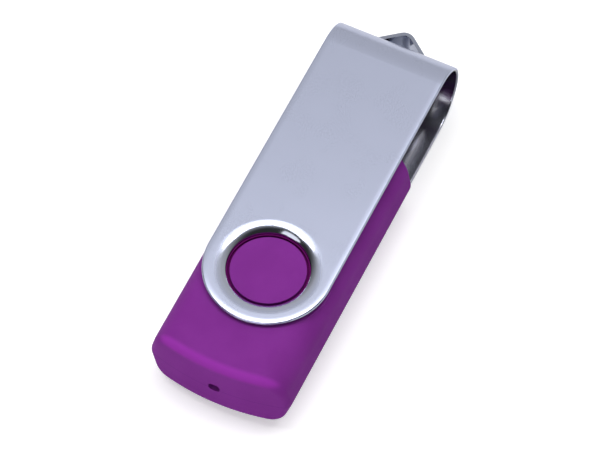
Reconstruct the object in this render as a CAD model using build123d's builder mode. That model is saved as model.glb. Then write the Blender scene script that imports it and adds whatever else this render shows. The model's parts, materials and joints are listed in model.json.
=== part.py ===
from build123d import *
import os
from math import cos, radians, sin, tan

# A USB flash drive with a swivelling metal cover, shown closed: the U-shaped cover is turned over
# the plug. Lengths are in millimetres. The origin is the centre of the footprint, +X runs towards
# the closed end of the cover and +Z is up. Every part below is drawn from the HUB plane, which is
# level, at mid height, and centred on the swivel axis.

# ---- cover -------------------------------------------------------------------------------------
COVER_WIDTH = 17.0  # the strip's width
COVER_HEIGHT = 11.8  # outside, over both arms
SHEET = 0.5  # the strip's thickness
BEND_REACH = 35.1  # swivel axis to the centre of the closed end's bend
HOLE_RADIUS = 5.5  # bore of the dimpled hole that turns on the hub
DIMPLE_RADIUS = 7.1  # where the flat arm starts to turn inwards
DIMPLE_BEND = 2.4  # outside radius of that turn
DIMPLE_ANGLE = 40  # slope of the dimple's wall, degrees
SHEET_EDGE = 0.2  # rounding of the strip's outside edges

# ---- lanyard loop, pressed out of the bend -----------------------------------------------------
LOOP_CORNER = 43.8  # swivel axis to where the loop's straight sides would meet
LOOP_SPAN = 7.6  # distance between the loop's feet
LOOP_WIDTH = 3.2  # width of the loop's strap, measured along Z
LOOP_TIP_RADIUS = 1.5  # outside

# ---- housing -----------------------------------------------------------------------------------
BODY_WIDTH = 19.9  # over the ridges where the two shells meet, before they are rounded
FLAT_WIDTH = 17.4  # the flat top and bottom, before their edges are rounded
BODY_TOP = 5.05  # mid plane of the cover to the housing's top face
BODY_BOTTOM = -4.85
PARTING = -0.5  # height of the joint between the two shells
TOP_SHOULDER = 4.0  # rounding between the flat top and the sloping flanks
BOTTOM_SHOULDER = 2.4
RIDGE = 2.5  # rounding of the ridges
BODY_FRONT = 24.4  # swivel axis to the front face, where the plug comes out
BODY_REAR = 15.9  # swivel axis to the middle of the bowed rear face
END_BOW_RADIUS = 32.5  # the bowed ends seen from above
REAR_EDGE = 1.1  # rounding of the rear face's rim
FRONT_EDGE = 0.4
WALL = 1.1
JOIN_CLEARANCE = 0.05  # pins in their sockets, and the plug in the front opening

# ---- hub ---------------------------------------------------------------------------------------
HUB_CLEARANCE = 0.05  # radial, a running fit in the cover's hole
HUB_RIM_HEIGHT = 4.9  # mid plane to the hub's narrow rim
HUB_FACE_HEIGHT = 5.0  # mid plane to the hub's flat round face
HUB_FACE_RADIUS = 4.95
HUB_GROOVE_OUTER = 5.3
HUB_GROOVE_FLOOR = 4.4  # mid plane to the bottom of the groove round the face
POCKET_RADIUS = 7.0  # the pocket in the housing that clears the cover's dimple
POCKET_FLOOR = 4.2  # mid plane to the pocket's floor
BOSS_UNDERSIDE = 2.8  # mid plane to the thickened wall under the pocket
BOSS_RADIUS = 8.4

# ---- light slot in the rear wall ---------------------------------------------------------------
SLOT_WIDTH = 1.6
SLOT_MIDDLE = -0.2  # mid plane to the slot's centre
SLOT_HEIGHT = 1.4
SLOT_CORNER = 0.55

# ---- USB-A plug --------------------------------------------------------------------------------
PLUG_WIDTH = 12.0
PLUG_HEIGHT = 4.5
PLUG_EXPOSED = 12.0  # length in front of the housing
PLUG_LENGTH = 18.75
PLUG_SHEET = 0.3
PLUG_CORNER = 0.5
PLUG_EAR = 3.0  # the ears that hold the board, behind the tube
PLUG_EAR_HEIGHT = 2.8
WINDOW_LENGTH = 2.0
WINDOW_WIDTH = 2.5
WINDOW_SPACING = 4.5
WINDOW_SETBACK = 6.2  # tip of the plug to the middle of a window
SEAM = 0.1
TONGUE_TOP = -0.1  # mid plane to the tongue's upper face
TONGUE_SETBACK = 0.6
BLOCK_LENGTH = 8.5  # the insulator's full-height block, from the tube's rear end
CONTACT_WIDTH = 1.0
CONTACT_THICKNESS = 0.25
CONTACT_TAIL = 2.6
OUTER_CONTACT_SETBACK = 1.0
INNER_CONTACT_SETBACK = 2.0

# ---- circuit board and what is soldered to it --------------------------------------------------
BOARD_WIDTH = 14.5
BOARD_THICKNESS = 1.0
BOARD_REAR = -12.8
BOARD_TOP = TONGUE_TOP - CONTACT_THICKNESS
LEAD_THICKNESS = 0.15

# ---- worked out from the above -----------------------------------------------------------------
COVER_FAR_END = BEND_REACH + COVER_HEIGHT / 2
LOOP_FOOT = COVER_FAR_END - SHEET / 2
LOOP_LEAN = (LOOP_CORNER - LOOP_FOOT) / (LOOP_SPAN / 2)
LOOP_SLANT = (1 + LOOP_LEAN**2) ** 0.5
LOOP_TIP = LOOP_CORNER - LOOP_TIP_RADIUS * (LOOP_SLANT - 1)
HUB_X = (BODY_REAR - LOOP_TIP) / 2
MID_HEIGHT = COVER_HEIGHT / 2
HUB_RADIUS = HOLE_RADIUS - HUB_CLEARANCE
PLUG_TIP = BODY_FRONT + PLUG_EXPOSED
PLUG_BACK = PLUG_TIP - PLUG_LENGTH
PLUG_INSIDE_WIDTH = PLUG_WIDTH - 2 * PLUG_SHEET
PLUG_INSIDE_HEIGHT = PLUG_HEIGHT - 2 * PLUG_SHEET
BOARD_BOTTOM = BOARD_TOP - BOARD_THICKNESS
BOARD_FRONT = PLUG_BACK

HUB = Plane(origin=(HUB_X, 0, MID_HEIGHT))
SIDE = Plane(origin=HUB.origin, x_dir=(1, 0, 0), z_dir=(0, -1, 0))  # sketch y is up
CROSS = Plane(origin=HUB.origin, x_dir=(0, 1, 0), z_dir=(1, 0, 0))  # looks along the length
SWIVEL_AXIS = Axis(HUB.origin, (0, 0, 1))
TALL = 20.0  # longer than any part is high, for cuts that go right through

os.makedirs("parts", exist_ok=True)


def save(builder, name):
    """Label a finished part and write it as its own file."""
    builder.part.label = name
    export_step(builder.part, f"parts/{name}.step")


def block(x_span, y_span, z_span, mode=Mode.ADD):
    """Add or cut a rectangular block whose faces are given from the hub centre."""
    spans = (x_span, y_span, z_span)
    centre = tuple((low + high) / 2 for low, high in spans)
    with Locations(centre):
        Box(*(high - low for low, high in spans), mode=mode)


def upright_cylinder(place, radius, z_span, mode=Mode.ADD):
    """Add or cut a vertical cylinder at a plan position given from the hub centre."""
    low, high = z_span
    with Locations((*place, (low + high) / 2)):
        Cylinder(radius, high - low, mode=mode)


# ---- swivel cover ------------------------------------------------------------------------------
def draw_u_profile():
    """The strip seen from the side: two arms joined by a half-round bend, as a closed outline."""
    outer = COVER_HEIGHT / 2
    inner = outer - SHEET
    open_end = -COVER_WIDTH / 2
    with BuildLine() as outline:
        Line((open_end, outer), (BEND_REACH, outer))
        CenterArc((BEND_REACH, 0), outer, 90, -180)
        Line((BEND_REACH, -outer), (open_end, -outer))
        Line((open_end, -outer), (open_end, -inner))
        Line((open_end, -inner), (BEND_REACH, -inner))
        CenterArc((BEND_REACH, 0), inner, -90, 180)
        Line((BEND_REACH, inner), (open_end, inner))
        Line((open_end, inner), (open_end, outer))
    return make_face(outline.edges(), mode=Mode.PRIVATE)


def draw_dimple_profile():
    """The upper dimple in section: flat sheet, a turn down, then a slope to the hole's bore."""
    top = COVER_HEIGHT / 2
    turn_centre = (DIMPLE_RADIUS, top - DIMPLE_BEND)
    inside_bend = DIMPLE_BEND - SHEET
    slope = tan(radians(DIMPLE_ANGLE))
    outer_tangent = (
        DIMPLE_RADIUS - DIMPLE_BEND * sin(radians(DIMPLE_ANGLE)),
        turn_centre[1] + DIMPLE_BEND * cos(radians(DIMPLE_ANGLE)),
    )
    inner_tangent = (
        DIMPLE_RADIUS - inside_bend * sin(radians(DIMPLE_ANGLE)),
        turn_centre[1] + inside_bend * cos(radians(DIMPLE_ANGLE)),
    )
    bore_top = (HOLE_RADIUS, outer_tangent[1] - (outer_tangent[0] - HOLE_RADIUS) * slope)
    bore_bottom = (HOLE_RADIUS, inner_tangent[1] - (inner_tangent[0] - HOLE_RADIUS) * slope)
    with BuildLine() as outline:
        CenterArc(turn_centre, DIMPLE_BEND, 90, DIMPLE_ANGLE)
        Polyline(outer_tangent, bore_top, bore_bottom, inner_tangent)
        CenterArc(turn_centre, inside_bend, 90 + DIMPLE_ANGLE, -DIMPLE_ANGLE)
        Line((DIMPLE_RADIUS, top - SHEET), (DIMPLE_RADIUS, top))
    return make_face(outline.edges(), mode=Mode.PRIVATE)


def draw_loop_outline(inset):
    """The lanyard loop from above: a triangle with a rounded tip, drawn smaller by the inset."""
    corner = LOOP_CORNER - inset * LOOP_SLANT
    foot_across = (corner - LOOP_FOOT) / LOOP_LEAN
    with BuildSketch() as outline:
        with BuildLine():
            Polyline((LOOP_FOOT, foot_across), (corner, 0), (LOOP_FOOT, -foot_across), close=True)
        make_face()
        tip = outline.vertices().sort_by(Axis.X)[-1]
        fillet(tip, LOOP_TIP_RADIUS - inset)
    return outline.sketch


with BuildPart() as swivel_cover:
    with BuildSketch(SIDE):
        add(draw_u_profile())
    extrude(amount=COVER_WIDTH / 2, both=True)
    with BuildSketch(HUB):
        Circle(COVER_WIDTH / 2)
        with Locations((COVER_FAR_END / 2, 0)):
            Rectangle(COVER_FAR_END, COVER_WIDTH)
    extrude(amount=COVER_HEIGHT, both=True, mode=Mode.INTERSECT)
    outline_edges = swivel_cover.edges().filter_by(
        lambda edge: abs(edge.bounding_box().min.Y) > COVER_WIDTH / 2 - 0.01
        and abs(edge.bounding_box().max.Y) > COVER_WIDTH / 2 - 0.01
    )
    fillet(outline_edges, SHEET_EDGE)
    with BuildSketch(HUB):
        Circle(DIMPLE_RADIUS)
    extrude(amount=COVER_HEIGHT, both=True, mode=Mode.SUBTRACT)
    with BuildSketch(SIDE):
        add(draw_dimple_profile())
        mirror(about=Plane.XZ)
    revolve(axis=SWIVEL_AXIS)
    with BuildSketch(CROSS):
        Rectangle(LOOP_SPAN - 2 * SHEET, LOOP_WIDTH)
    extrude(amount=COVER_FAR_END + SHEET, mode=Mode.SUBTRACT)
    with BuildSketch(HUB):
        add(draw_loop_outline(0))
        add(draw_loop_outline(SHEET), mode=Mode.SUBTRACT)
    extrude(amount=LOOP_WIDTH / 2, both=True)
save(swivel_cover, "swivel_cover")


# ---- housing: one outer form, split at the ridges into two shells ------------------------------
SPLIT = HUB.offset(PARTING)
CAVITY_REAR = -13.3
CAVITY_FRONT = 21.8
CAVITY_TOP = BODY_TOP - WALL
CAVITY_BOTTOM = BODY_BOTTOM + WALL
CAVITY_HALF_WIDTH = FLAT_WIDTH / 2 - 0.4
CAVITY_CORNER = 3.0

POST_PLACES = ((-11.8, 6.9), (-11.8, -6.9), (19.8, 7.3), (19.8, -7.3))
POST_RADIUS = 1.1
POST_TOP = 3.5  # the upper posts end in the rounded shoulder
PIN_RADIUS = 0.6
PIN_HEIGHT = 1.2
LEDGE_STATIONS = (-9.0, 8.5)
LEDGE_THICKNESS = 1.0
LEDGE_INNER = 6.9
LEDGE_OUTER = 7.6
PLUG_STOP_THICKNESS = 1.2
PLUG_STOP_HALF_WIDTH = 4.5
PLUG_CRADLE_STATION = 19.4
SINK = 0.3  # how far ribs and posts run into the wall that they stand on


def draw_section():
    """The housing cut across: flat top and bottom, with flanks that slope out to a ridge."""
    half = FLAT_WIDTH / 2
    ridge = BODY_WIDTH / 2
    with BuildSketch(CROSS) as section:
        with BuildLine():
            Polyline(
                (-half, BODY_TOP),
                (half, BODY_TOP),
                (ridge, PARTING),
                (half, BODY_BOTTOM),
                (-half, BODY_BOTTOM),
                (-ridge, PARTING),
                close=True,
            )
        make_face()
        ridges = section.vertices().sort_by(Axis.X)
        fillet((ridges[0], ridges[-1]), RIDGE)
        corners = section.vertices().group_by(Axis.Y)
        fillet(corners[-1], TOP_SHOULDER)
        fillet(section.vertices().group_by(Axis.Y)[0], BOTTOM_SHOULDER)
    return section.sketch


def draw_plan():
    """The housing from above, wider than it is, so that only its two bowed ends are used."""
    ends_half_width = BODY_WIDTH / 2 + 1
    bow_depth = END_BOW_RADIUS - (END_BOW_RADIUS**2 - ends_half_width**2) ** 0.5
    rear = bow_depth - BODY_REAR
    front = BODY_FRONT - bow_depth
    with BuildSketch(HUB) as plan:
        with BuildLine():
            Line((rear, ends_half_width), (front, ends_half_width))
            ThreePointArc((front, ends_half_width), (BODY_FRONT, 0), (front, -ends_half_width))
            Line((front, -ends_half_width), (rear, -ends_half_width))
            ThreePointArc((rear, -ends_half_width), (-BODY_REAR, 0), (rear, ends_half_width))
        make_face()
    return plan.sketch


def form_housing(form):
    """Make the closed outer form of the housing, with both rims rounded."""
    extrude(draw_section(), amount=BODY_FRONT + BODY_REAR, both=True)
    extrude(draw_plan(), amount=BODY_WIDTH, both=True, mode=Mode.INTERSECT)
    rear_rim = form.faces().sort_by(Axis.X)[0].edges()
    fillet(rear_rim, REAR_EDGE)
    front_rim = form.faces().sort_by(Axis.X)[-1].edges()
    fillet(front_rim, FRONT_EDGE)


def cut_cavity():
    """Hollow the housing, and open the plug's way out and the light slot."""
    with BuildSketch(CROSS.offset(CAVITY_REAR)) as cavity:
        with Locations((0, (CAVITY_TOP + CAVITY_BOTTOM) / 2)):
            RectangleRounded(2 * CAVITY_HALF_WIDTH, CAVITY_TOP - CAVITY_BOTTOM, CAVITY_CORNER)
    extrude(cavity.sketch, amount=CAVITY_FRONT - CAVITY_REAR, mode=Mode.SUBTRACT)
    with BuildSketch(CROSS.offset(CAVITY_FRONT - 1)) as plug_opening:
        RectangleRounded(
            PLUG_WIDTH + 2 * JOIN_CLEARANCE,
            PLUG_HEIGHT + 2 * JOIN_CLEARANCE,
            PLUG_CORNER + JOIN_CLEARANCE,
        )
    extrude(plug_opening.sketch, amount=BODY_FRONT - CAVITY_FRONT + 2, mode=Mode.SUBTRACT)
    with BuildSketch(CROSS.offset(CAVITY_REAR + 1)) as light_slot:
        with Locations((0, SLOT_MIDDLE)):
            RectangleRounded(SLOT_WIDTH, SLOT_HEIGHT, SLOT_CORNER)
    extrude(light_slot.sketch, amount=-BODY_REAR, mode=Mode.SUBTRACT)


def form_hub(up):
    """The pocket, hub and grooved face on one side. up is 1 for the top and -1 for the bottom."""

    def height_span(low, high):
        return sorted((low * up, high * up))

    hub = (0, 0)
    skin = abs(BODY_BOTTOM) - SINK
    upright_cylinder(hub, BOSS_RADIUS, height_span(BOSS_UNDERSIDE, skin))
    upright_cylinder(hub, POCKET_RADIUS, height_span(POCKET_FLOOR, TALL), Mode.SUBTRACT)
    upright_cylinder(hub, HUB_RADIUS, height_span(BOSS_UNDERSIDE, HUB_RIM_HEIGHT))
    upright_cylinder(hub, HUB_GROOVE_OUTER, height_span(HUB_GROOVE_FLOOR, TALL), Mode.SUBTRACT)
    upright_cylinder(hub, HUB_FACE_RADIUS, height_span(BOSS_UNDERSIDE, HUB_FACE_HEIGHT))


def add_ribs(near_plug, near_board, wall):
    """Ribs on one shell's wall: a stop and a cradle for the plug, and four ledges for the board."""
    across = (-PLUG_STOP_HALF_WIDTH, PLUG_STOP_HALF_WIDTH)
    stop = (PLUG_BACK - PLUG_STOP_THICKNESS, PLUG_BACK)
    cradle = (PLUG_CRADLE_STATION - 0.5, PLUG_CRADLE_STATION + 0.5)
    stop_overlap = 2 * PLUG_SHEET * (1 if near_plug < 0 else -1)
    block(stop, across, sorted((near_plug + stop_overlap, wall)))
    block(cradle, across, sorted((near_plug, wall)))
    for station in LEDGE_STATIONS:
        along = (station - LEDGE_THICKNESS / 2, station + LEDGE_THICKNESS / 2)
        for side in (1, -1):
            ledge = sorted((side * LEDGE_INNER, side * LEDGE_OUTER))
            block(along, ledge, sorted((near_board, wall)))


with BuildPart(HUB) as upper_shell:
    form_housing(upper_shell)
    split(bisect_by=SPLIT, keep=Keep.TOP)
    cut_cavity()
    form_hub(up=1)
    add_ribs(PLUG_HEIGHT / 2, BOARD_TOP, CAVITY_TOP + SINK)
    socket_top = PARTING + PIN_HEIGHT + 2 * JOIN_CLEARANCE
    for place in POST_PLACES:
        upright_cylinder(place, POST_RADIUS, (PARTING, POST_TOP))
        upright_cylinder(place, PIN_RADIUS + JOIN_CLEARANCE, (-TALL, socket_top), Mode.SUBTRACT)
save(upper_shell, "upper_shell")

with BuildPart(HUB) as lower_shell:
    form_housing(lower_shell)
    split(bisect_by=SPLIT, keep=Keep.BOTTOM)
    cut_cavity()
    form_hub(up=-1)
    add_ribs(-PLUG_HEIGHT / 2, BOARD_BOTTOM, CAVITY_BOTTOM - SINK)
    for place in POST_PLACES:
        upright_cylinder(place, POST_RADIUS, (CAVITY_BOTTOM - SINK, PARTING))
        upright_cylinder(place, PIN_RADIUS, (PARTING - 1, PARTING + PIN_HEIGHT))
save(lower_shell, "lower_shell")


# ---- USB-A plug --------------------------------------------------------------------------------
CONTACTS = {
    "contact_power": (-3.5, OUTER_CONTACT_SETBACK),
    "contact_data_minus": (-1.0, INNER_CONTACT_SETBACK),
    "contact_data_plus": (1.0, INNER_CONTACT_SETBACK),
    "contact_ground": (3.5, OUTER_CONTACT_SETBACK),
}
TAIL_WIDTH = 0.7
BLOCK_FRONT = PLUG_BACK + BLOCK_LENGTH

with BuildPart(HUB) as plug_shell:
    with BuildSketch(CROSS.offset(PLUG_BACK)):
        RectangleRounded(PLUG_WIDTH, PLUG_HEIGHT, PLUG_CORNER)
        RectangleRounded(
            PLUG_INSIDE_WIDTH,
            PLUG_INSIDE_HEIGHT,
            PLUG_CORNER - PLUG_SHEET,
            mode=Mode.SUBTRACT,
        )
    extrude(amount=PLUG_LENGTH)
    mouth = plug_shell.faces().sort_by(Axis.X)[-1]
    chamfer(mouth.outer_wire().edges(), PLUG_SHEET / 2)
    window_middle = PLUG_TIP - WINDOW_SETBACK
    with Locations((window_middle, WINDOW_SPACING / 2, 0), (window_middle, -WINDOW_SPACING / 2, 0)):
        Box(WINDOW_LENGTH, WINDOW_WIDTH, TALL, mode=Mode.SUBTRACT)
    block((PLUG_BACK - 1, PLUG_TIP + 1), (-SEAM / 2, SEAM / 2), (-TALL, -1), Mode.SUBTRACT)
    for side in (1, -1):
        ear_faces = sorted((side * (PLUG_WIDTH / 2 - PLUG_SHEET), side * PLUG_WIDTH / 2))
        ear_height = (-PLUG_EAR_HEIGHT / 2, PLUG_EAR_HEIGHT / 2)
        block((PLUG_BACK - PLUG_EAR, PLUG_BACK), ear_faces, ear_height)
save(plug_shell, "plug_shell")


def contact_spans(across, setback):
    """The two blocks of one contact: its narrow tail to the board and its wide front strip."""
    height = (BOARD_TOP, TONGUE_TOP)
    tail = (
        (PLUG_BACK - CONTACT_TAIL, BLOCK_FRONT),
        (across - TAIL_WIDTH / 2, across + TAIL_WIDTH / 2),
        height,
    )
    strip = (
        (BLOCK_FRONT, PLUG_TIP - setback),
        (across - CONTACT_WIDTH / 2, across + CONTACT_WIDTH / 2),
        height,
    )
    return tail, strip


with BuildPart(HUB) as plug_insulator:
    with BuildSketch(CROSS.offset(PLUG_BACK)):
        RectangleRounded(PLUG_INSIDE_WIDTH, PLUG_INSIDE_HEIGHT, PLUG_CORNER - PLUG_SHEET)
    extrude(amount=PLUG_LENGTH - TONGUE_SETBACK)
    block((BLOCK_FRONT, PLUG_TIP), (-TALL, TALL), (TONGUE_TOP, TALL), Mode.SUBTRACT)
    for across, setback in CONTACTS.values():
        for spans in contact_spans(across, setback):
            block(*spans, mode=Mode.SUBTRACT)
save(plug_insulator, "plug_insulator")

for name, (across, setback) in CONTACTS.items():
    with BuildPart(HUB) as contact:
        for spans in contact_spans(across, setback):
            block(*spans)
    save(contact, name)


# ---- circuit board -----------------------------------------------------------------------------
TOP_SIDE = HUB.offset(BOARD_TOP)
UNDERSIDE = Plane(origin=HUB.offset(BOARD_BOTTOM).origin, x_dir=(1, 0, 0), z_dir=(0, 0, -1))
EAR_GAP = 0.05
NECK_REAR = PLUG_BACK - PLUG_EAR - 0.2
NECK_WIDTH = PLUG_INSIDE_WIDTH - 2 * EAR_GAP
POST_GAP = 0.2

with BuildPart(HUB) as circuit_board:
    board_half = BOARD_WIDTH / 2
    thickness = (BOARD_BOTTOM, BOARD_TOP)
    block((BOARD_REAR, NECK_REAR), (-board_half, board_half), thickness)
    block((NECK_REAR, BOARD_FRONT), (-NECK_WIDTH / 2, NECK_WIDTH / 2), thickness)
    for place in POST_PLACES[:2]:
        upright_cylinder(place, POST_RADIUS + POST_GAP, (-TALL, TALL), Mode.SUBTRACT)
save(circuit_board, "circuit_board")


# ---- packages with gull-wing leads -------------------------------------------------------------
STAND_OFF = 0.1
PIN_ONE_DEPTH = 0.1

FLASH_PLACE = (1.2, 0)
FLASH_SIZE = (18.4, 12.0, 1.0)
CONTROLLER_PLACE = (5.5, 0)
CONTROLLER_SIZE = (7.0, 7.0, 1.0)
REGULATOR_PLACE = (-7.0, 4.0)
REGULATOR_SIZE = (2.9, 1.6, 1.1)


def make_lead(height, reach, width):
    """A gull-wing lead pointing along +X: out of the package, down to the board, then a foot."""
    drop = reach * 0.45
    thick = LEAD_THICKNESS
    with BuildPart() as lead:
        with BuildSketch(Plane.XZ):
            with BuildLine():
                Polyline(
                    (0, height),
                    (0, height + thick),
                    (drop, height + thick),
                    (drop, thick),
                    (reach, thick),
                    (reach, 0),
                    (drop - thick, 0),
                    (drop - thick, height),
                    close=True,
                )
            make_face()
        extrude(amount=width / 2, both=True)
    return lead.part


def add_lead_row(lead, place, angle, edge_distance, offsets):
    """Copies of a lead along one edge of a package that stands at the given place."""
    package = Location((*place, 0)) * Location((0, 0, 0), (0, 0, angle))
    with Locations(*(package * Location((edge_distance, offset, 0)) for offset in offsets)):
        add(lead)


def even_offsets(count, pitch):
    """Positions of a row, centred on zero."""
    return [(index - (count - 1) / 2) * pitch for index in range(count)]


def add_package(place, size, pin_one_radius):
    """A moulded chip body that stands just off the board, with a dimple at its first lead."""
    length, width, height = size
    with Locations((*place, STAND_OFF + height / 2)):
        Box(length, width, height)
    corner = (place[0] - length / 2 + 2 * pin_one_radius, place[1] - width / 2 + 2 * pin_one_radius)
    top = STAND_OFF + height
    upright_cylinder(corner, pin_one_radius, (top - PIN_ONE_DEPTH, top + 1), Mode.SUBTRACT)


with BuildPart(TOP_SIDE) as flash_chip:
    add_package(FLASH_PLACE, FLASH_SIZE, pin_one_radius=0.6)
save(flash_chip, "flash_chip")

with BuildPart(TOP_SIDE) as flash_chip_leads:
    flash_lead = make_lead(height=0.55, reach=0.8, width=0.22)
    for angle in (0, 180):
        add_lead_row(flash_lead, FLASH_PLACE, angle, FLASH_SIZE[0] / 2, even_offsets(24, 0.5))
save(flash_chip_leads, "flash_chip_leads")

with BuildPart(UNDERSIDE) as controller_chip:
    add_package(CONTROLLER_PLACE, CONTROLLER_SIZE, pin_one_radius=0.4)
save(controller_chip, "controller_chip")

with BuildPart(UNDERSIDE) as controller_leads:
    controller_lead = make_lead(height=0.55, reach=1.0, width=0.22)
    for angle in (0, 90, 180, 270):
        edge = CONTROLLER_SIZE[0] / 2
        add_lead_row(controller_lead, CONTROLLER_PLACE, angle, edge, even_offsets(12, 0.5))
save(controller_leads, "controller_leads")

with BuildPart(UNDERSIDE) as voltage_regulator:
    add_package(REGULATOR_PLACE, REGULATOR_SIZE, pin_one_radius=0.2)
save(voltage_regulator, "voltage_regulator")

with BuildPart(UNDERSIDE) as regulator_leads:
    regulator_lead = make_lead(height=0.5, reach=0.6, width=0.4)
    edge = REGULATOR_SIZE[1] / 2
    add_lead_row(regulator_lead, REGULATOR_PLACE, 90, edge, (-0.95, 0.95))
    add_lead_row(regulator_lead, REGULATOR_PLACE, 270, edge, (-0.95, 0, 0.95))
save(regulator_leads, "regulator_leads")


# ---- crystal -----------------------------------------------------------------------------------
CRYSTAL_PLACE = (-4.0, -2.6)
CRYSTAL_SIZE = (5.0, 3.2)
CRYSTAL_BASE_HEIGHT = 0.5
CRYSTAL_CAN_HEIGHT = 0.5
CRYSTAL_CAN_INSET = 0.25

with BuildPart(UNDERSIDE) as crystal_base:
    with Locations((*CRYSTAL_PLACE, CRYSTAL_BASE_HEIGHT / 2)):
        Box(*CRYSTAL_SIZE, CRYSTAL_BASE_HEIGHT)
save(crystal_base, "crystal_base")

with BuildPart(UNDERSIDE) as crystal_can:
    can_length, can_width = (side - 2 * CRYSTAL_CAN_INSET for side in CRYSTAL_SIZE)
    with Locations((*CRYSTAL_PLACE, CRYSTAL_BASE_HEIGHT + CRYSTAL_CAN_HEIGHT / 2)):
        Box(can_length, can_width, CRYSTAL_CAN_HEIGHT)
    can_top = crystal_can.faces().sort_by(Axis.Z)[0]
    fillet(can_top.edges(), 0.15)
save(crystal_can, "crystal_can")


# ---- chip parts: each is a small block between two metal ends ----------------------------------
CHIP_LENGTH = 1.6
CHIP_WIDTH = 0.8
CHIP_END = 0.3
CAPACITOR_HEIGHT = 0.8
RESISTOR_HEIGHT = 0.45
FERRITE_HEIGHT = 0.9
CAPACITOR_PLACES = ((-10.6, -4.5), (-10.6, 1.5), (-7.0, 1.2), (12.0, 4.5), (12.0, -4.5), (-0.6, 4.6))
RESISTOR_PLACES = ((-10.6, -2.5), (12.0, 1.4), (12.0, -1.4), (-0.6, 2.8), (-10.6, 4.0))
FERRITE_PLACES = ((-3.4, 5.4),)


def add_chip_middles(places, height):
    """The bodies between the metal ends."""
    with Locations(*((*place, height / 2) for place in places)):
        Box(CHIP_LENGTH - 2 * CHIP_END, CHIP_WIDTH, height)


def add_chip_ends(places, height):
    """Two metal ends for each chip part."""
    shift = (CHIP_LENGTH - CHIP_END) / 2
    ends = [(x + side * shift, y, height / 2) for x, y in places for side in (1, -1)]
    with Locations(*ends):
        Box(CHIP_END, CHIP_WIDTH, height)


with BuildPart(UNDERSIDE) as capacitors:
    add_chip_middles(CAPACITOR_PLACES, CAPACITOR_HEIGHT)
save(capacitors, "capacitors")

with BuildPart(UNDERSIDE) as resistors:
    add_chip_middles(RESISTOR_PLACES, RESISTOR_HEIGHT)
save(resistors, "resistors")

with BuildPart(UNDERSIDE) as ferrite_bead:
    add_chip_middles(FERRITE_PLACES, FERRITE_HEIGHT)
save(ferrite_bead, "ferrite_bead")

with BuildPart(UNDERSIDE) as end_terminals:
    add_chip_ends(CAPACITOR_PLACES, CAPACITOR_HEIGHT)
    add_chip_ends(RESISTOR_PLACES, RESISTOR_HEIGHT)
    add_chip_ends(FERRITE_PLACES, FERRITE_HEIGHT)
save(end_terminals, "end_terminals")


# ---- activity light, at the board's rear edge behind the slot ----------------------------------
LED_LENGTH = 1.2
LED_WIDTH = 1.6
LED_HEIGHT = 0.8
LED_END = 0.3
LENS_RADIUS = 0.35
LED_FRONT = BOARD_REAR + LED_LENGTH

with BuildPart(TOP_SIDE) as led_base:
    led_half = LED_WIDTH / 2
    block((BOARD_REAR, LED_FRONT), (-led_half, led_half), (0, LED_HEIGHT))
save(led_base, "led_base")

with BuildPart(TOP_SIDE) as led_lens:
    with BuildSketch(CROSS.offset(BOARD_REAR)):
        with Locations((0, BOARD_TOP + LED_HEIGHT / 2)):
            Circle(LENS_RADIUS)
    extrude(amount=-LENS_RADIUS)
    lens_face = led_lens.faces().sort_by(Axis.X)[0]
    fillet(lens_face.edges(), LENS_RADIUS * 0.7)
save(led_lens, "led_lens")

with BuildPart(TOP_SIDE) as led_terminals:
    for side in (1, -1):
        y_span = sorted((side * led_half, side * (led_half + LED_END)))
        block((BOARD_REAR, LED_FRONT), y_span, (0, LED_HEIGHT / 2))
save(led_terminals, "led_terminals")


# ---- solder that holds the plug to the board ---------------------------------------------------
SOLDER_RISE = 0.6
SOLDER_SPREAD = 0.7
TAIL_SOLDER_LENGTH = 0.45
EAR_SOLDER_SPAN = (PLUG_BACK - PLUG_EAR + 0.4, PLUG_BACK - 0.5)

with BuildPart(HUB) as plug_solder:
    with BuildSketch(CROSS.offset(EAR_SOLDER_SPAN[0])):
        for side in (1, -1):
            ear_face = side * (PLUG_WIDTH / 2 - PLUG_SHEET)
            with BuildLine():
                Polyline(
                    (ear_face, BOARD_TOP),
                    (ear_face, BOARD_TOP + SOLDER_RISE),
                    (ear_face - side * SOLDER_SPREAD, BOARD_TOP),
                    close=True,
                )
            make_face()
    extrude(amount=EAR_SOLDER_SPAN[1] - EAR_SOLDER_SPAN[0])
    tail_end = PLUG_BACK - CONTACT_TAIL
    for across, setback in CONTACTS.values():
        y_span = (across - TAIL_WIDTH / 2, across + TAIL_WIDTH / 2)
        block((tail_end - TAIL_SOLDER_LENGTH, tail_end), y_span, (BOARD_TOP, BOARD_TOP + 0.15))
save(plug_solder, "plug_solder")
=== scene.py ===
import json
import math

import bpy
from mathutils import Matrix, Vector


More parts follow.
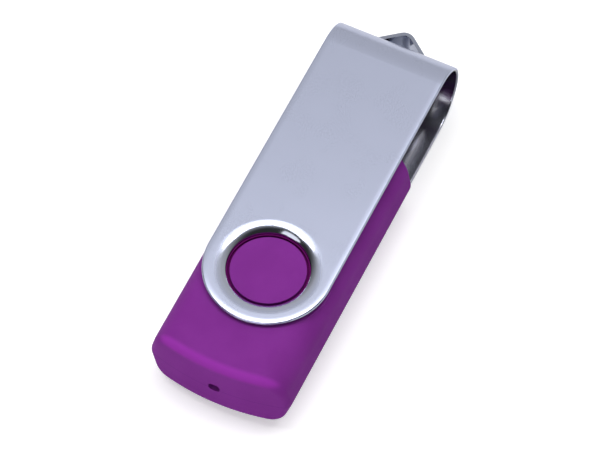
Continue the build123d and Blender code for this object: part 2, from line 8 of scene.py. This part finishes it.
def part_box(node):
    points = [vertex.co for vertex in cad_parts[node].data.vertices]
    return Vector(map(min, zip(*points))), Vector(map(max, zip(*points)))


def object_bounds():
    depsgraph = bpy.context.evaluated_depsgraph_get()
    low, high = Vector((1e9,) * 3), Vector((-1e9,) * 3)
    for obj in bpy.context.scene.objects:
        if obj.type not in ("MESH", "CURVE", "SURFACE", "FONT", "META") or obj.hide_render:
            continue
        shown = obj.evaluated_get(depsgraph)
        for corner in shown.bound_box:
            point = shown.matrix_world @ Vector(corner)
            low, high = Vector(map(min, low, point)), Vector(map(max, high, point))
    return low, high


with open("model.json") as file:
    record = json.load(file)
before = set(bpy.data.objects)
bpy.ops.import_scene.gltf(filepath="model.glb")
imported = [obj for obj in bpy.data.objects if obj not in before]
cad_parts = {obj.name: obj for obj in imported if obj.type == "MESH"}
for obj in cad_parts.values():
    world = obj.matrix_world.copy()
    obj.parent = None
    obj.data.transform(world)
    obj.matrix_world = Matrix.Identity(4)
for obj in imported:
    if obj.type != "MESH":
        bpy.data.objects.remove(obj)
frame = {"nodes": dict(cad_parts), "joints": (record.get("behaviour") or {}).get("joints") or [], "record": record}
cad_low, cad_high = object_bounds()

# Looks for the swivel-cover USB flash drive: a finish for every material slot, the floor, the
# lights and the camera. Lengths are in metres in the CAD frame, where +X runs towards the closed
# end of the cover and +Z is up.

MM = 0.001
PLAN = (1, 1, 0)  # the axes that count when a distance is measured from above

# ---- places on the drive, for the finishes -----------------------------------------------------
HUB = Vector(frame["joints"][0]["pos_m"])  # on the swivel axis, midway between the cover's arms
COVER_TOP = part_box("swivel_cover")[1].z
COVER_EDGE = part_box("swivel_cover")[1].y
BODY_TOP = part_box("upper_shell")[1].z
BODY_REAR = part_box("upper_shell")[0].x
END_BOW_RADIUS = 32.5 * MM  # of the housing's rear end, seen from above
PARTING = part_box("upper_shell")[0].z
BOARD_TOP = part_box("circuit_board")[1].z
BOARD_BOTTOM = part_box("circuit_board")[0].z
BEND_REACH = 35.1 * MM  # swivel axis to the centre of the cover's bend, as in the CAD part
SHEET = 0.5 * MM  # the cover's thickness
LOOP_START = HUB.x + 40.8 * MM  # the lanyard loop lies beyond this
DIMPLE_RADIUS = 7.1 * MM  # where the flat arm starts to turn in
DIMPLE_POLISH = (1.4 * MM, 0.1 * MM)  # inside that radius: fully polished, and not polished yet
HOLE_RADIUS = 5.5 * MM  # of the cover, round the hub
DISC_RADIUS = 4.95 * MM  # the hub's flat face, inside its groove
ROLL_WIDTH = 0.9 * MM  # how far in from its edges the strip starts to roll over
ROLL_RADIUS = 4.0 * MM
LOWER_ARM_FADE = (-5.0 * MM, -2.0 * MM)  # heights from the hub between which the painted shade inside the cover sets in
LIP_DEPTH = (1.3 * MM, 0.5 * MM)  # in from the rear face: where the painted highlight on the lip starts, and is full
LIP_DROP = (1.6 * MM, 0.6 * MM)  # down from the top face: the same
MASK_SKIN = 0.06 * MM  # the solder mask covers this much of the board's edge below

# ---- camera ------------------------------------------------------------------------------------
VIEW_AZIMUTH = 204.47  # degrees from +X, of the camera as seen from the hub
VIEW_ELEVATION = 58.16
VIEW_ROLL = 1.14
VIEW_DISTANCE = 515.4 * MM
LENS = 242.35  # millimetres
SENSOR = 36  # millimetres
AIM_RIGHT = 4.05 * MM  # from the hub to the middle of the view
AIM_UP = 5.29 * MM

# ---- surroundings ------------------------------------------------------------------------------
UP = Vector((0, 0, 1))
FAR = Vector((0.910, 0.414, 0))  # level, away from the camera
RIGHT = Vector((0.414, -0.910, 0))
PALE_SIDE = 0.6 * FAR + 0.15 * RIGHT + 0.55 * UP  # the room is palest in this direction
FADE = (0.2, 0.9)  # how far round from the dark side the room turns from dark to pale
ROOM_LIGHT = (0.03, 0.6)  # strength on the dark side and on the pale side
FLOOR_GLOW = 0.4  # light added to the floor as the camera sees it, which thins the shadows
FLOOR_HALF = 3.0  # metres
FLOOR_GAP = 0.01 * MM  # keeps the floor from lying in the same plane as the cover's lower arm

# Each panel: its size along and across the view in metres, its power in watts, and where it
# stands from the hub.
PANELS = {
    "overhead_panel": ((0.19, 0.62), 1.6, 0.055 * FAR + 0.45 * UP),
    "front_panel": ((0.20, 0.40), 0.8, -0.44 * FAR - 0.16 * RIGHT + 0.17 * UP),
    "side_panel": ((0.18, 0.25), 0.18, 0.5 * Vector((-0.614, 0.325, 0.72))),
}


# ---- building materials ------------------------------------------------------------------------
class Finish:
    """One material: a Principled shader, and short ways to make the nodes that feed it."""

    def __init__(self, name, **values):
        self.material = bpy.data.materials.new(name + "_finish")
        self.material.use_nodes = True
        self.tree = self.material.node_tree
        self.tree.nodes.clear()
        self.shader = self.node("ShaderNodeBsdfPrincipled")
        output = self.node("ShaderNodeOutputMaterial")
        self.tree.links.new(self.shader.outputs["BSDF"], output.inputs["Surface"])
        self.place = self.node("ShaderNodeTexCoord").outputs["Object"]
        for socket, value in values.items():
            self.set(socket.replace("_", " "), value)

    def node(self, kind, inputs=None, **settings):
        made = self.tree.nodes.new(kind)
        for name, value in settings.items():
            setattr(made, name, value)
        for key, value in (inputs or {}).items():
            self.feed(made.inputs[key], value)
        return made

    def feed(self, socket, value):
        """Link a socket to another node's output, or set it to a plain value."""
        if isinstance(value, bpy.types.NodeSocket):
            self.tree.links.new(value, socket)
        else:
            socket.default_value = value

    def set(self, socket, value):
        self.feed(self.shader.inputs[socket], value)

    def math(self, operation, first, second=0.0):
        """One step of arithmetic; a maximum or minimum with one input is taken against zero."""
        made = self.node("ShaderNodeMath", {0: first, 1: second}, operation=operation)
        return made.outputs[0]

    def hypotenuse(self, first, second):
        squares = [self.math("POWER", side, 2.0) for side in (first, second)]
        return self.math("SQRT", self.math("ADD", *squares))

    def noise(self, size, detail=2.0, stretch=(1.0, 1.0, 1.0)):
        """Noise from 0 to 1 with features about `size` long, drawn out along an axis by `stretch`."""
        scale = tuple(1 / (size * longer) for longer in stretch)
        moved = self.node("ShaderNodeMapping", {"Vector": self.place, "Scale": scale})
        inputs = {"Vector": moved.outputs[0], "Scale": 1.0, "Detail": detail}
        return self.node("ShaderNodeTexNoise", inputs).outputs["Fac"]

    def cells(self, size):
        """Distance to the middle of the nearest of many cells about `size` across, from 0 to 1."""
        scale = (1 / size, 1 / size, 1 / size)
        moved = self.node("ShaderNodeMapping", {"Vector": self.place, "Scale": scale})
        made = self.node("ShaderNodeTexVoronoi", {"Vector": moved.outputs[0], "Scale": 1.0})
        return made.outputs["Distance"]

    def ramp(self, source, start, end, low=0.0, high=1.0):
        """`low` where source is up to start, `high` from end on, and a smooth step between."""
        inputs = {"Value": source, "From Min": start, "From Max": end, "To Min": low, "To Max": high}
        made = self.node("ShaderNodeMapRange", inputs, interpolation_type="SMOOTHSTEP")
        return made.outputs[0]

    def blend(self, factor, first, second):
        """Number between first and second."""
        inputs = {0: factor, 2: first, 3: second}
        return self.node("ShaderNodeMix", inputs, data_type="FLOAT").outputs[0]

    def other_than(self, mask):
        """1 where mask is 0 and 0 where it is 1."""
        return self.math("SUBTRACT", 1.0, mask)

    def mix(self, factor, first, second):
        """Colour between first and second."""
        inputs = {0: factor, 6: rgba(first), 7: rgba(second)}
        return self.node("ShaderNodeMix", inputs, data_type="RGBA").outputs[2]

    def vector_math(self, operation, *inputs):
        return self.node("ShaderNodeVectorMath", dict(enumerate(inputs)), operation=operation).outputs

    def plan_distance(self, centre):
        """How far a point is from the upright line through centre."""
        away = self.vector_math("SUBTRACT", self.place, centre)[0]
        level = self.vector_math("MULTIPLY", away, PLAN)[0]
        return self.vector_math("LENGTH", level)["Value"]

    def axis(self, letter):
        """One coordinate of the point, in metres."""
        return self.node("ShaderNodeSeparateXYZ", {0: self.place}).outputs[letter]

    def bump(self, height, depth):
        """Raise the surface by up to `depth` where height is 1, on top of any earlier bump."""
        inputs = {"Height": height, "Distance": depth}
        earlier = self.shader.inputs["Normal"].links
        if earlier:
            inputs["Normal"] = earlier[0].from_socket
        self.set("Normal", self.node("ShaderNodeBump", inputs).outputs[0])


def rgba(colour):
    """A colour as the four numbers that a colour socket wants; a linked colour is left alone."""
    if isinstance(colour, bpy.types.NodeSocket) or len(colour) == 4:
        return colour
    return (*colour, 1.0)


# ---- the two finishes that show most -----------------------------------------------------------
def inner_side(steel):
    """1 on the faces of the cover's strip that look inwards, and 0 on the outer ones."""
    past_bend = steel.math("MAXIMUM", steel.math("SUBTRACT", steel.axis("X"), HUB.x + BEND_REACH))
    height = steel.math("SUBTRACT", steel.axis("Z"), HUB.z)
    from_middle = steel.hypotenuse(past_bend, height)
    half_sheet = COVER_TOP - HUB.z - SHEET / 2
    return steel.ramp(from_middle, half_sheet - 0.05 * MM, half_sheet + 0.05 * MM, 1.0, 0.0)


def edge_roll(steel):
    """How far the strip's edges fall away, where the press rolled them over before the cut."""
    before_hub = steel.math("MINIMUM", steel.math("SUBTRACT", steel.axis("X"), HUB.x))
    from_spine = steel.hypotenuse(before_hub, steel.axis("Y"))
    into_roll = steel.math("SUBTRACT", from_spine, COVER_EDGE - ROLL_WIDTH)
    into_roll = steel.math("MAXIMUM", into_roll)
    return steel.math("DIVIDE", steel.math("POWER", into_roll, 2.0), -2 * ROLL_RADIUS)


def cover_steel():
    """Blasted satin steel outside and polished where the press drew it, with shade painted inside the cover, a
    reflection painted on the lower arm's inside, and shade painted on the lanyard loop.
    """
    steel = Finish("cover_steel", Metallic=1.0)
    full_polish, no_polish = (DIMPLE_RADIUS - inwards for inwards in DIMPLE_POLISH)
    dimple = steel.ramp(steel.plan_distance(HUB), full_polish, no_polish, 1.0, 0.0)
    loop = steel.math("GREATER_THAN", steel.axis("X"), LOOP_START)
    drawn = steel.math("MAXIMUM", dimple, loop)
    inside = steel.math("MULTIPLY", inner_side(steel), steel.other_than(drawn))

    grain = steel.noise(0.09 * MM, detail=2)
    cloud = steel.ramp(steel.noise(6 * MM), 0.3, 0.7, 0.0, 0.01)
    satin = steel.math("ADD", steel.ramp(grain, 0.3, 0.7, 0.27, 0.28), cloud)
    outside = steel.blend(drawn, satin, 0.11)
    steel.set("Roughness", steel.blend(inside, outside, 0.20))

    tint = steel.mix(steel.ramp(grain, 0.3, 0.7), (0.562, 0.60, 0.765), (0.568, 0.606, 0.773))
    tint = steel.mix(dimple, tint, (0.57, 0.60, 0.70))
    # Painted shade: the lanyard loop's tint is darker than the rest of the same steel.
    tint = steel.mix(loop, tint, (0.40, 0.43, 0.53))
    # Painted shade and reflection: the cover's inside is painted dark above its lower arm and pale on the lower
    # arm's inside.
    from_mid_height = steel.math("SUBTRACT", steel.axis("Z"), HUB.z)
    above_lower_arm = steel.ramp(from_mid_height, *LOWER_ARM_FADE)
    inner_painted_shade = steel.mix(above_lower_arm, (0.68, 0.69, 0.80), (0.24, 0.25, 0.30))
    steel.set("Base Color", steel.mix(inside, tint, inner_painted_shade))

    steel.bump(steel.math("MULTIPLY", edge_roll(steel), steel.other_than(inside)), 1.0)
    smooth = steel.math("MAXIMUM", drawn, inside)
    steel.bump(steel.math("MULTIPLY", grain, steel.other_than(smooth)), 0.00015 * MM)
    return steel.material


def lip_highlight_mask(plastic):
    """From 0 to 1: how far a point is on the upper lip of the bowed rear end, where a highlight is painted."""
    from_bow_centre = plastic.plan_distance(Vector((BODY_REAR + END_BOW_RADIUS, HUB.y, 0)))
    outwards = plastic.ramp(from_bow_centre, *(END_BOW_RADIUS - depth for depth in LIP_DEPTH))
    upwards = plastic.ramp(plastic.axis("Z"), *(BODY_TOP - drop for drop in LIP_DROP))
    return plastic.math("MULTIPLY", outwards, upwards)


def hub_gap_shade(plastic):
    """1 between the hub's disc and the cover's hole, where shade is painted, and 0 elsewhere."""
    from_axis = plastic.plan_distance(HUB)
    past_disc = plastic.math("GREATER_THAN", from_axis, DISC_RADIUS)
    return plastic.math("MULTIPLY", past_disc, plastic.math("LESS_THAN", from_axis, HOLE_RADIUS))


def housing_plastic():
    """Purple moulded plastic: matt, with a highlight painted on its thin rear lip and shade painted in the gap
    round the hub.
    """
    plastic = Finish("housing_plastic", Subsurface_Weight=0.15, Specular_IOR_Level=0.02)
    plastic.set("Subsurface Radius", (1.0, 0.25, 1.0))
    plastic.set("Subsurface Scale", 0.6 * MM)
    cloud = plastic.noise(5 * MM, detail=3)
    grain = plastic.noise(0.12 * MM, detail=2)
    base = plastic.mix(plastic.ramp(cloud, 0.3, 0.7), (0.208, 0.028, 0.266), (0.226, 0.032, 0.290))
    # Painted highlight: the rear lip is painted a paler purple.
    base = plastic.mix(lip_highlight_mask(plastic), base, (0.31, 0.036, 0.39))
    # Painted shade: the gap between the hub's disc and the cover's hole is painted dark.
    base = plastic.mix(hub_gap_shade(plastic), base, (0.14, 0.005, 0.12))
    from_parting = plastic.math("ABSOLUTE", plastic.math("SUBTRACT", plastic.axis("Z"), PARTING))
    joint = plastic.ramp(from_parting, 0.0, 0.12 * MM, 0.35, 0.0)
    plastic.set("Base Color", plastic.mix(joint, base, (0.10, 0.006, 0.14)))
    plastic.set("Roughness", plastic.ramp(grain, 0.3, 0.7, 0.46, 0.54))
    plastic.bump(grain, 0.006 * MM)
    return plastic.material


# ---- the plug ----------------------------------------------------------------------------------
def plug_steel():
    """Nickel-plated strip with a faint rolling grain along the plug."""
    nickel = Finish("plug_steel", Metallic=1.0)
    lines = nickel.noise(0.10 * MM, detail=4, stretch=(40.0, 1.0, 1.0))
    cloud = nickel.noise(3 * MM)
    tint = nickel.mix(nickel.ramp(cloud, 0.3, 0.7), (0.66, 0.65, 0.63), (0.74, 0.73, 0.70))
    nickel.set("Base Color", tint)
    nickel.set("Roughness", nickel.ramp(lines, 0.3, 0.7, 0.14, 0.26))
    nickel.bump(lines, 0.003 * MM)
    return nickel.material


def insulator_plastic():
    """Black glass-filled plastic, with pale fibres just under the skin."""
    black = Finish("insulator_plastic")
    fibres = black.noise(0.05 * MM, detail=2, stretch=(6.0, 1.0, 1.0))
    tint = black.mix(black.ramp(fibres, 0.55, 0.75), (0.012, 0.012, 0.013), (0.05, 0.05, 0.05))
    black.set("Base Color", tint)
    black.set("Roughness", black.ramp(fibres, 0.3, 0.7, 0.42, 0.55))
    black.bump(fibres, 0.004 * MM)
    return black.material


def contact_gold():
    """Flash-gold plating, worn towards the nickel in the rubbed stripe along each contact."""
    gold = Finish("contact_gold", Metallic=1.0)
    rub = gold.noise(0.08 * MM, detail=3, stretch=(30.0, 1.0, 1.0))
    tint = gold.mix(gold.ramp(rub, 0.5, 0.75), (0.85, 0.60, 0.22), (0.80, 0.70, 0.50))
    gold.set("Base Color", tint)
    gold.set("Roughness", gold.ramp(rub, 0.3, 0.7, 0.16, 0.30))
    gold.bump(rub, 0.002 * MM)
    return gold.material


# ---- the electronics inside --------------------------------------------------------------------
def board_laminate():
    """Green solder mask over woven glass, with lighter stripes where copper lies under it."""
    board = Finish("board_laminate", Coat_Weight=0.4, Coat_Roughness=0.15)
    warp = board.noise(0.3 * MM, stretch=(8, 1, 1))
    weft = board.noise(0.3 * MM, stretch=(1, 8, 1))
    weave = board.math("MULTIPLY", warp, weft)
    stripes = {"Vector": board.place, "Scale": 260.0, "Distortion": 1.5, "Detail": 0.0}
    tracks = board.node("ShaderNodeTexWave", stripes, bands_direction="Y").outputs["Fac"]
    mask = board.mix(board.ramp(tracks, 0.55, 0.65), (0.006, 0.085, 0.030), (0.015, 0.16, 0.06))
    above = board.ramp(board.axis("Z"), BOARD_TOP - 0.08 * MM, BOARD_TOP - 0.04 * MM)
    below = board.math("LESS_THAN", board.axis("Z"), BOARD_BOTTOM + MASK_SKIN)
    skin = board.math("MAXIMUM", above, below)
    board.set("Base Color", board.mix(skin, (0.42, 0.40, 0.22), mask))
    board.set("Roughness", board.ramp(weave, 0.15, 0.4, 0.30, 0.45))
    board.bump(weave, 0.010 * MM)
    board.bump(tracks, 0.015 * MM)
    return board.material


def chip_plastic():
    """Black moulding compound, full of fine glass beads."""
    epoxy = Finish("chip_plastic")
    beads = epoxy.cells(0.09 * MM)
    tint = epoxy.mix(epoxy.ramp(beads, 0.1, 0.6), (0.045, 0.045, 0.048), (0.018, 0.018, 0.020))
    epoxy.set("Base Color", tint)
    epoxy.set("Roughness", epoxy.ramp(beads, 0.1, 0.6, 0.50, 0.68))
    epoxy.bump(beads, 0.004 * MM)
    return epoxy.material


def tinned_metal():
    """Tin plating and solder: soft, slightly wavy and frosted in patches."""
    tin = Finish("tinned_metal", Metallic=1.0)
    frost = tin.noise(0.25 * MM, detail=4)
    tint = tin.mix(tin.ramp(frost, 0.35, 0.65), (0.62, 0.63, 0.64), (0.78, 0.78, 0.77))
    tin.set("Base Color", tint)
    tin.set("Roughness", tin.ramp(frost, 0.35, 0.65, 0.20, 0.42))
    tin.bump(frost, 0.010 * MM)
    return tin.material


# Each ceramic: its darker colour, its lighter colour and its roughness.
CERAMICS = {
    "crystal_ceramic": ((0.20, 0.17, 0.14), (0.30, 0.27, 0.24), 0.55),
    "capacitor_ceramic": ((0.42, 0.28, 0.15), (0.56, 0.42, 0.28), 0.45),
    "resistor_glaze": ((0.02, 0.02, 0.03), (0.06, 0.06, 0.07), 0.25),
    "ferrite": ((0.08, 0.08, 0.09), (0.15, 0.15, 0.16), 0.60),
}


def fired_ceramic(name, dark, light, roughness):
    """Sintered ceramic in two close colours, with a fine pitted skin."""
    ceramic = Finish(name)
    pits = ceramic.noise(0.07 * MM, detail=4)
    ceramic.set("Base Color", ceramic.mix(ceramic.ramp(pits, 0.35, 0.65), dark, light))
    ceramic.set("Roughness", ceramic.ramp(pits, 0.35, 0.65, roughness - 0.06, roughness + 0.06))
    ceramic.bump(pits, 0.005 * MM)
    return ceramic.material


def crystal_metal():
    """The crystal's drawn lid: brushed along its length."""
    lid = Finish("crystal_metal", Metallic=1.0)
    brushed = lid.noise(0.06 * MM, detail=3, stretch=(25.0, 1.0, 1.0))
    lid.set("Base Color", lid.mix(brushed, (0.62, 0.60, 0.56), (0.76, 0.74, 0.70)))
    lid.set("Roughness", lid.ramp(brushed, 0.3, 0.7, 0.22, 0.36))
    lid.bump(brushed, 0.003 * MM)
    return lid.material


def led_housing():
    """The light's white moulded base."""
    white = Finish("led_housing", Coat_Weight=0.3)
    cloud = white.noise(0.2 * MM)
    white.set("Base Color", white.mix(cloud, (0.74, 0.74, 0.70), (0.86, 0.86, 0.83)))
    white.set("Roughness", white.ramp(cloud, 0.3, 0.7, 0.25, 0.38))
    white.bump(cloud, 0.003 * MM)
    return white.material


def led_resin():
    """The light's lens: clear red resin, a little cloudy."""
    resin = Finish("led_resin", IOR=1.52, Transmission_Weight=0.85)
    cloud = resin.noise(0.15 * MM)
    resin.set("Base Color", resin.mix(cloud, (0.75, 0.10, 0.07), (0.90, 0.20, 0.14)))
    resin.set("Roughness", resin.ramp(cloud, 0.3, 0.7, 0.05, 0.14))
    resin.bump(cloud, 0.002 * MM)
    return resin.material


def dress_nodes():
    """Give every CAD node the finish of its material slot."""
    finishes = {
        "cover_steel": cover_steel(),
        "housing_plastic": housing_plastic(),
        "plug_steel": plug_steel(),
        "insulator_plastic": insulator_plastic(),
        "contact_gold": contact_gold(),
        "board_laminate": board_laminate(),
        "chip_plastic": chip_plastic(),
        "tinned_metal": tinned_metal(),
        "crystal_metal": crystal_metal(),
        "led_housing": led_housing(),
        "led_resin": led_resin(),
    }
    for name, (dark, light, roughness) in CERAMICS.items():
        finishes[name] = fired_ceramic(name, dark, light, roughness)
    for subpart in frame["record"]["subparts"]:
        piece = frame["nodes"][subpart["node"]]
        for slot in piece.material_slots:
            slot.material = finishes[subpart["material_slot"]]


# ---- floor, lights and camera ------------------------------------------------------------------
def make_floor():
    """A plain pale floor, just under the cover's lower arm."""
    corners = [(x * FLOOR_HALF, y * FLOOR_HALF, 0) for x, y in ((-1, -1), (1, -1), (1, 1), (-1, 1))]
    mesh = bpy.data.meshes.new("floor")
    mesh.from_pydata(corners, [], [(0, 1, 2, 3)])
    floor = bpy.data.objects.new("floor", mesh)
    floor.location.z = cad_low.z - FLOOR_GAP
    bpy.context.scene.collection.objects.link(floor)
    paper = Finish("floor", Roughness=0.9, Specular_IOR_Level=0.2)
    fibres = paper.noise(2 * MM, detail=3)
    paper.set("Base Color", paper.mix(fibres, (0.89, 0.89, 0.90), (0.91, 0.91, 0.92)))
    seen = paper.node("ShaderNodeLightPath").outputs["Is Camera Ray"]
    paper.set("Emission Color", (1, 1, 1, 1))
    paper.set("Emission Strength", paper.math("MULTIPLY", seen, FLOOR_GLOW))
    mesh.materials.append(paper.material)


def light_room():
    """A room that is pale behind the object and dark in front of it, with a white backdrop."""
    world = bpy.data.worlds.new("room")
    bpy.context.scene.world = world
    world.use_nodes = True
    tree = world.node_tree
    tree.nodes.clear()
    direction = tree.nodes.new("ShaderNodeTexCoord").outputs["Generated"]
    towards = tree.nodes.new("ShaderNodeVectorMath")
    towards.operation = "DOT_PRODUCT"
    towards.inputs[1].default_value = PALE_SIDE.normalized()
    fade = tree.nodes.new("ShaderNodeMapRange")
    fade.interpolation_type = "SMOOTHSTEP"
    for socket, value in zip(("From Min", "From Max", "To Min", "To Max"), (*FADE, *ROOM_LIGHT)):
        fade.inputs[socket].default_value = value
    room = tree.nodes.new("ShaderNodeBackground")
    backdrop = tree.nodes.new("ShaderNodeBackground")
    backdrop.inputs["Strength"].default_value = 1.0
    for background in (room, backdrop):
        background.inputs["Color"].default_value = (1, 1, 1, 1)
    seen = tree.nodes.new("ShaderNodeLightPath").outputs["Is Camera Ray"]
    choose = tree.nodes.new("ShaderNodeMixShader")
    output = tree.nodes.new("ShaderNodeOutputWorld")
    tree.links.new(direction, towards.inputs[0])
    tree.links.new(towards.outputs["Value"], fade.inputs["Value"])
    tree.links.new(fade.outputs[0], room.inputs["Strength"])
    tree.links.new(seen, choose.inputs[0])
    tree.links.new(room.outputs[0], choose.inputs[1])
    tree.links.new(backdrop.outputs[0], choose.inputs[2])
    tree.links.new(choose.outputs[0], output.inputs["Surface"])


def facing(back, across):
    """The turn whose Z is `back` and whose Y is as near to `across` as it can be."""
    across = (across - across.dot(back) * back).normalized()
    return Matrix((across.cross(back), across, back)).transposed().to_4x4()


def add_panel(name, size, power, from_hub):
    """A soft rectangular light that faces the hub, with its long side across the view."""
    panel = bpy.data.lights.new(name, "AREA")
    panel.shape = "RECTANGLE"
    panel.size, panel.size_y = size
    panel.energy = power
    lamp = bpy.data.objects.new(name, panel)
    turn = facing(from_hub.normalized(), FAR.cross(UP))
    lamp.matrix_world = Matrix.Translation(HUB + from_hub) @ turn
    bpy.context.scene.collection.objects.link(lamp)


def place_camera():
    """The camera looks down on the rear of the drive, aimed past the hub."""
    azimuth, elevation, roll = (math.radians(a) for a in (VIEW_AZIMUTH, VIEW_ELEVATION, VIEW_ROLL))
    back = Vector((
        math.cos(elevation) * math.cos(azimuth),
        math.cos(elevation) * math.sin(azimuth),
        math.sin(elevation),
    ))
    level = UP.cross(back).normalized()
    right = Matrix.Rotation(roll, 3, back) @ level
    up = back.cross(right)
    camera_data = bpy.data.cameras.new("camera")
    camera_data.lens = LENS
    camera_data.sensor_width = SENSOR
    camera_data.clip_start = 0.01
    camera_data.clip_end = 10
    camera = bpy.data.objects.new("camera", camera_data)
    aim = Vector((HUB.x, HUB.y, COVER_TOP)) + AIM_RIGHT * right + AIM_UP * up
    axes = Matrix((right, up, back)).transposed().to_4x4()
    camera.matrix_world = Matrix.Translation(aim + VIEW_DISTANCE * back) @ axes
    bpy.context.scene.collection.objects.link(camera)
    bpy.context.scene.camera = camera


dress_nodes()
make_floor()
light_room()
for panel_name, (panel_size, panel_power, panel_place) in PANELS.items():
    add_panel(panel_name, panel_size, panel_power, panel_place)
place_camera()
bpy.context.scene.view_settings.view_transform = "Standard"
